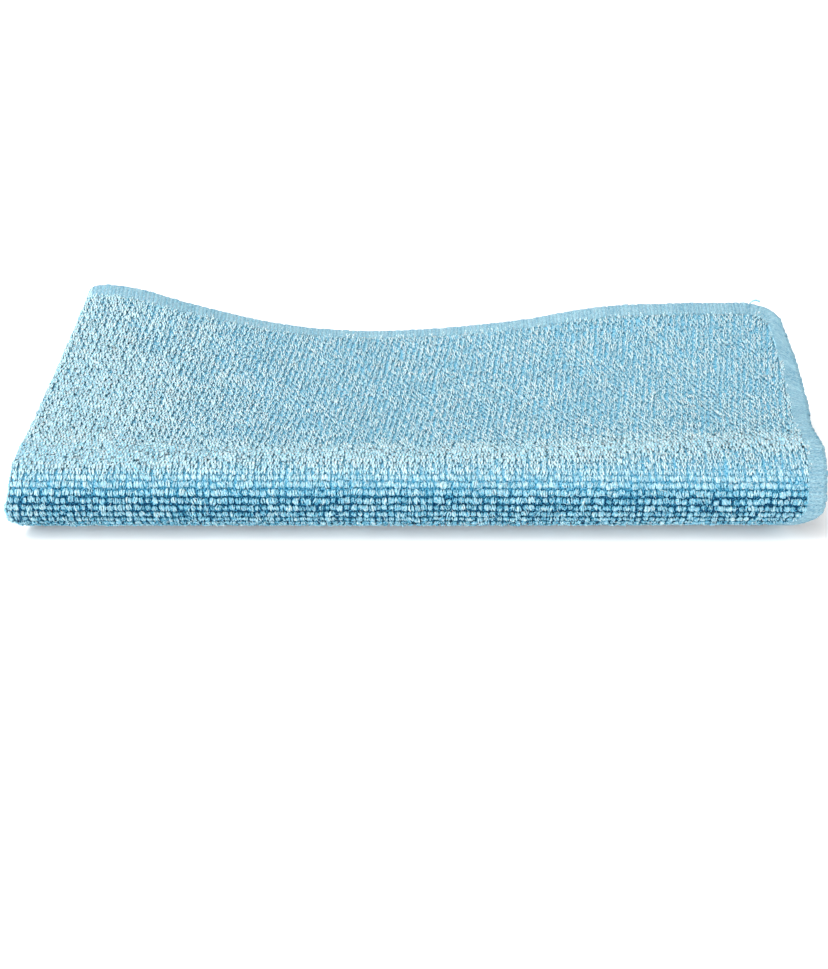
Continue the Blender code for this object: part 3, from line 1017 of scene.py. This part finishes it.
def make_threads(name, spots, place, rng):
    """Threads at those spots along an edge. place gives points from spot, inset and height."""
    along, width, out = THREAD_STRAND.T
    count = len(spots)
    odd = (np.arange(count) % 2)[:, None]
    swell = rng.uniform(*THREAD_SIZES, (count, 1))
    inset, height = wrap(along[None], THREAD_HIGH * out[None] * swell)
    inset = inset - odd * SCALLOP * np.sin(np.pi * along) ** SCALLOP_SHARP
    inset = inset + rng.normal(0, THREAD_IN, (count, 1))
    spot = spots[:, None] + THREAD_WIDE * width * swell + rng.normal(0, THREAD_ASIDE, (count, 1))
    points = off_floor(place(spot, inset, height))
    tone = np.repeat(rng.normal(0, 1, (count, 1)), len(along), 1)
    # Its outside is painted lighter and its inside darker, as light and shade on its round.
    rise = np.clip(THREAD_RISE + THREAD_ROUND_SHADE * out[None] + 0 * spot, 0, 1)
    yarn = np.stack([width * THREAD_WIDE + 0 * spot, spot, inset + 0 * spot], -1)
    faces = repeated(THREAD_FACES, len(along), count)
    numbers = {"rise": rise, "tone": tone}
    edge = mesh_object(name, points.reshape(-1, 3), faces, numbers, yarn.reshape(-1, 3))
    edge.data.shade_flat()
    return edge


print("a thread goes", round(wrap(0.5, 0.0)[0] * -1000, 2), "mm past the edge")

# %% The right edge
def right_place(sign):
    """Places threads over the right hem of the upper layer (1) or of the lower one (-1)."""
    def place(spot, inset, height):
        start = run_of(np.full(spot.shape, RIGHT.max()), spot, sign)
        run = run_of(np.interp(start, RUN, RIGHT), spot, sign)
        across = across_at(np.interp(run, RUN, RIGHT), run) - inset
        return cloth_point(sign * across, run, height)
    return place


print("right edge at x from", RIGHT.min().round(4), "to", RIGHT.max().round(4))

# %% The back edges and their rounded corner
def run_at(x, y, back, inner):
    """The run of a plan point on the top pass, or on the inner pass."""
    end = end_at(np.minimum(x, edge_value("right", 0.0)), back)
    start, stop = (PART_STARTS[6], RUN[-1]) if inner else (PART_STARTS[1], 0.0)
    front = INNER_FOLD if inner else FRONT + smooth(x, column(TOP, "x"), column(TOP, "crest"))
    return stop + (start - stop) * (end - y) / (end - front)


def back_line(spot, right, back):
    """Plan point and inward direction at a distance from the corner's end, going left."""
    arc = CORNER_DEPTH * np.pi / 2
    angle = 0.5 * np.pi * (1 - np.clip(spot / arc, 0, 1))
    x = right - CORNER + CORNER * np.sin(angle) - np.maximum(spot - arc, 0)
    y = back - CORNER_DEPTH * (1 - np.cos(angle))
    inward = np.stack([-np.sin(angle) / CORNER, -np.cos(angle) / CORNER_DEPTH], -1)
    return x, y, inward / np.linalg.norm(inward, axis=-1)[..., None]


def back_place(sign, back, inner):
    """Places threads over a back edge, with spot counted along it from the right corner."""
    right = float(RIGHT[-1] if inner else RIGHT[0])
    def place(spot, inset, height):
        x, y, inward = back_line(spot, right, back)
        x = x + inward[..., 0] * inset
        run = run_at(x, y + inward[..., 1] * inset, back, inner)
        return cloth_point(sign * across_at(x, run), run, height)
    return place


def fold_place(inner):
    """Places threads over a back edge where it goes round the left fold."""
    def place(across, inset, height):
        return cloth_point(across, RUN[-1] - inset if inner else inset, height)
    return place


print("way round the corner:", round(1000 * CORNER_DEPTH * np.pi / 2, 1), "mm")

# %% Make the edge threads
END_CLEAR = 0.006  # how far before the ends of the right edge its threads stop
THREAD_SEED = 5

rng = np.random.default_rng(THREAD_SEED)
edges = []
for label, sign in (("right_edge_upper", 1), ("right_edge_lower", -1)):
    even = LENGTHS[sign][0]
    spots = np.arange(even[0] + END_CLEAR, even[-1] - END_CLEAR, THREAD_PITCH)
    edges.append(make_threads(label, spots, right_place(sign), rng))
for label, back, inner in (("top", BACK_TOP, False), ("inner", BACK_INNER, True)):
    right = float(RIGHT[-1] if inner else RIGHT[0])
    left = float(LEFT[-1] if inner else LEFT[0])
    length = right - CORNER - left - HALF + CORNER_DEPTH * np.pi / 2
    spots = np.arange(THREAD_PITCH / 2, length, THREAD_PITCH)
    edges.append(make_threads(f"{label}_back_edge_upper", spots, back_place(1, back, inner), rng))
    edges.append(make_threads(f"{label}_back_edge_lower", spots, back_place(-1, back, inner), rng))
    bend = np.arange(-QUARTER + THREAD_PITCH / 2, QUARTER, THREAD_PITCH)
    edges.append(make_threads(f"{label}_back_edge_fold", bend, fold_place(inner), rng))
print(sum(len(e.data.polygons) for e in edges), "triangles in the edge threads")

# %% [markdown]
# One thread end was left standing at the back right corner. It is the same strand once more, bent
# along a short arch.

# %% The thread end
END_PLACES = ((0.0953, 0.0392, 0.0272), (0.0970, 0.0398, 0.0296), (0.0990, 0.0394, 0.0280))
END_THICK = 0.00034  # half its thickness
END_TONE = 0.6  # its colour between a loop's foot, 0, and its tip, 1


def thread_end(name):
    """A thread through the three places, which bends towards the middle one."""
    along, round_a, round_b = THREAD_STRAND.T
    first, middle, last = (np.array(place) - (*CENTRE, 0) for place in END_PLACES)
    t = along[:, None]
    line = first * (1 - t) ** 2 + 2 * middle * t * (1 - t) + last * t**2
    points = line + END_THICK * np.stack([0 * along, round_a, round_b], 1)
    numbers = {"rise": END_TONE + 0 * along, "tone": 0 * along}
    return mesh_object(name, points, THREAD_FACES, numbers, points)


piles.append(thread_end("thread_end"))
print("thread end:", len(piles[-1].data.polygons), "triangles")

# %% [markdown]
# ## Finishes
# The loops, the ground and the edge have one finish in two tones: split microfibre, matt and soft,
# and a little darker on the threads of the edge. Its colour is painted shade and light: it goes from
# deep teal at the foot of a loop, where little light gets, to pale blue at the tip. Fine noise that
# follows the yarn gives its fibres. An image could do that, but noise stays sharp from near and far.

# %% Colours from the painted shade at the foot of a loop to the painted light at its tip
# The foot colours paint the shade that falls there, and the tip colours paint light.
PAINTED_SHADE_DEEP = (0.001, 0.025, 0.070, 1.0)
SHADE = (0.050, 0.290, 0.450, 1.0)
BODY = (0.255, 0.485, 0.600, 1.0)
PALE = (0.440, 0.610, 0.655, 1.0)
BRIGHT = (0.590, 0.700, 0.715, 1.0)
EDGE_BODY = (0.092, 0.225, 0.318, 1.0)
EDGE_PALE = (0.170, 0.310, 0.385, 1.0)
EDGE_BRIGHT = (0.255, 0.412, 0.490, 1.0)
PILE_STOPS = ((0.0, PAINTED_SHADE_DEEP), (0.22, SHADE), (0.48, BODY), (0.75, PALE), (1.0, BRIGHT))
EDGE_STOPS = ((0.0, PAINTED_SHADE_DEEP), (0.40, EDGE_BODY), (0.68, EDGE_PALE), (1.0, EDGE_BRIGHT))
print(len(PILE_STOPS), "colours of the pile,", len(EDGE_STOPS), "of the edge")

# %% Helpers for nodes
def add_node(tree, kind, label, **values):
    """A node with the given input values, by their names."""
    node = tree.nodes.new(kind)
    node.label = label
    for name, value in values.items():
        node.inputs[name].default_value = value
    return node


def ramp_node(tree, label, stops):
    """A colour ramp through the given stops."""
    node = add_node(tree, "ShaderNodeValToRGB", label)
    ramp = node.color_ramp
    while len(ramp.elements) < len(stops):
        ramp.elements.new(0.5)
    for element, (at, colour) in zip(ramp.elements, stops):
        element.position = at
        element.color = colour
    return node


def attribute_node(tree, name):
    """A node that reads a number that the mesh keeps at each point."""
    node = tree.nodes.new("ShaderNodeAttribute")
    node.attribute_name = name
    return node


def add_share(tree, label, name, share, base):
    """Adds a share of a number of the mesh to the socket base."""
    node = add_node(tree, "ShaderNodeMath", label)
    node.operation = "MULTIPLY_ADD"
    node.inputs[1].default_value = share
    tree.links.new(attribute_node(tree, name).outputs["Fac"], node.inputs[0])
    tree.links.new(base, node.inputs[2])
    return node.outputs["Value"]


# %% The microfibre finish
FIBRE_LOOK = {
    "Roughness": 0.92,
    "Specular IOR Level": 0.08,
    "Subsurface Weight": 0.25,
    "Subsurface Radius": (0.25, 0.7, 1.0),  # red, green, blue: red light gets least far
    "Subsurface Scale": 0.0008,
    "Sheen Roughness": 0.45,
    "Sheen Tint": (0.80, 0.93, 1.0, 1.0),
}
RISE_SHARE = 0.75  # how much of the way from the painted shade at the foot to the tip follows from rise
TONE_SHARE = 0.05  # how far one step of tone moves a strand's colour
GRAIN_SCALE = 1700.0  # fineness of the fibres
GRAIN_DETAIL = 3.0  # how many finer noises are added to it
GRAIN_ROUGH = 0.7  # and how strong they are
GRAIN_FROM = (0.3, 0.7)  # the values of the noise that give the darkest and lightest fibre
ALONG_YARN = (2.0, 1.0, 1.0)  # makes the grain twice as fine across the yarn
RELIEF_DEPTH = 0.0003  # depth of the relief between fibres


def microfibre(name, stops, grain_depth, relief_strength, sheen):
    """A matt fibre finish whose colour follows rise, tone and a fine grain along the yarn."""
    material = bpy.data.materials.new(name)
    material.use_nodes = True
    tree = material.node_tree
    link = tree.links.new
    shader = tree.nodes["Principled BSDF"]
    for label, value in FIBRE_LOOK.items():
        shader.inputs[label].default_value = value
    shader.inputs["Sheen Weight"].default_value = sheen
    yarn = attribute_node(tree, "yarn")
    stretch = add_node(tree, "ShaderNodeMapping", "along the yarn", Scale=ALONG_YARN)
    link(yarn.outputs["Vector"], stretch.inputs["Vector"])
    fibres = add_node(tree, "ShaderNodeTexNoise", "fibres", Scale=GRAIN_SCALE, Detail=GRAIN_DETAIL,
                      Roughness=GRAIN_ROUGH)
    link(stretch.outputs["Vector"], fibres.inputs["Vector"])
    ends = {"From Min": GRAIN_FROM[0], "From Max": GRAIN_FROM[1], "To Min": -grain_depth,
            "To Max": grain_depth}
    grain = add_node(tree, "ShaderNodeMapRange", "grain", **ends)
    grain.clamp = False
    link(fibres.outputs["Fac"], grain.inputs["Value"])
    # rise carries the painted shade, dark at a loop's foot and light at its tip
    total = add_share(tree, "rise and grain", "rise", RISE_SHARE, grain.outputs["Result"])
    shade = add_share(tree, "tone from strand to strand", "tone", TONE_SHARE, total)
    ramp = ramp_node(tree, "foot to tip", stops)
    link(shade, ramp.inputs["Fac"])
    link(ramp.outputs["Color"], shader.inputs["Base Color"])
    relief = add_node(tree, "ShaderNodeBump", "fibre relief", Strength=relief_strength,
                      Distance=RELIEF_DEPTH)
    link(fibres.outputs["Fac"], relief.inputs["Height"])
    link(relief.outputs["Normal"], shader.inputs["Normal"])
    return material


pile_finish = microfibre("terry_pile", PILE_STOPS, grain_depth=0.38, relief_strength=0.4, sheen=0.04)
edge_finish = microfibre("terry_edge", EDGE_STOPS, grain_depth=0.42, relief_strength=0.6, sheen=0.0)
for piece in [sheet] + piles:
    piece.data.materials.append(pile_finish)
for piece in edges:
    piece.data.materials.append(edge_finish)
print("finishes:", pile_finish.name, edge_finish.name)

# %% [markdown]
# ## The floor
# A wide, plain, pale floor, so that only the cloth and its soft shadow show.

# %% Add the floor
FLOOR_SIDE = 6.0
FLOOR_COLOUR = (0.94, 0.94, 0.94, 1.0)
FLOOR_ROUGHNESS = 0.9

bpy.ops.object.select_all(action="DESELECT")
bpy.ops.mesh.primitive_plane_add(size=FLOOR_SIDE, location=(0, 0, 0))
floor = bpy.context.object
floor.name = "floor"
floor_finish = bpy.data.materials.new("floor_paper")
floor_finish.use_nodes = True
paper = floor_finish.node_tree.nodes["Principled BSDF"]
paper.inputs["Base Color"].default_value = FLOOR_COLOUR
paper.inputs["Roughness"].default_value = FLOOR_ROUGHNESS
floor.data.materials.append(floor_finish)
print("floor", FLOOR_SIDE, "m wide")

# %% [markdown]
# ## Tie the pieces to the imported model
# The sheet stands for the imported solid, and everything rides on its one body.

# %% Tie each piece to the body
for piece in [sheet] + piles + edges:
    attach(piece, "root")
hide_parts("cloth")
print(1 + len(piles + edges), "pieces ride on the one body")
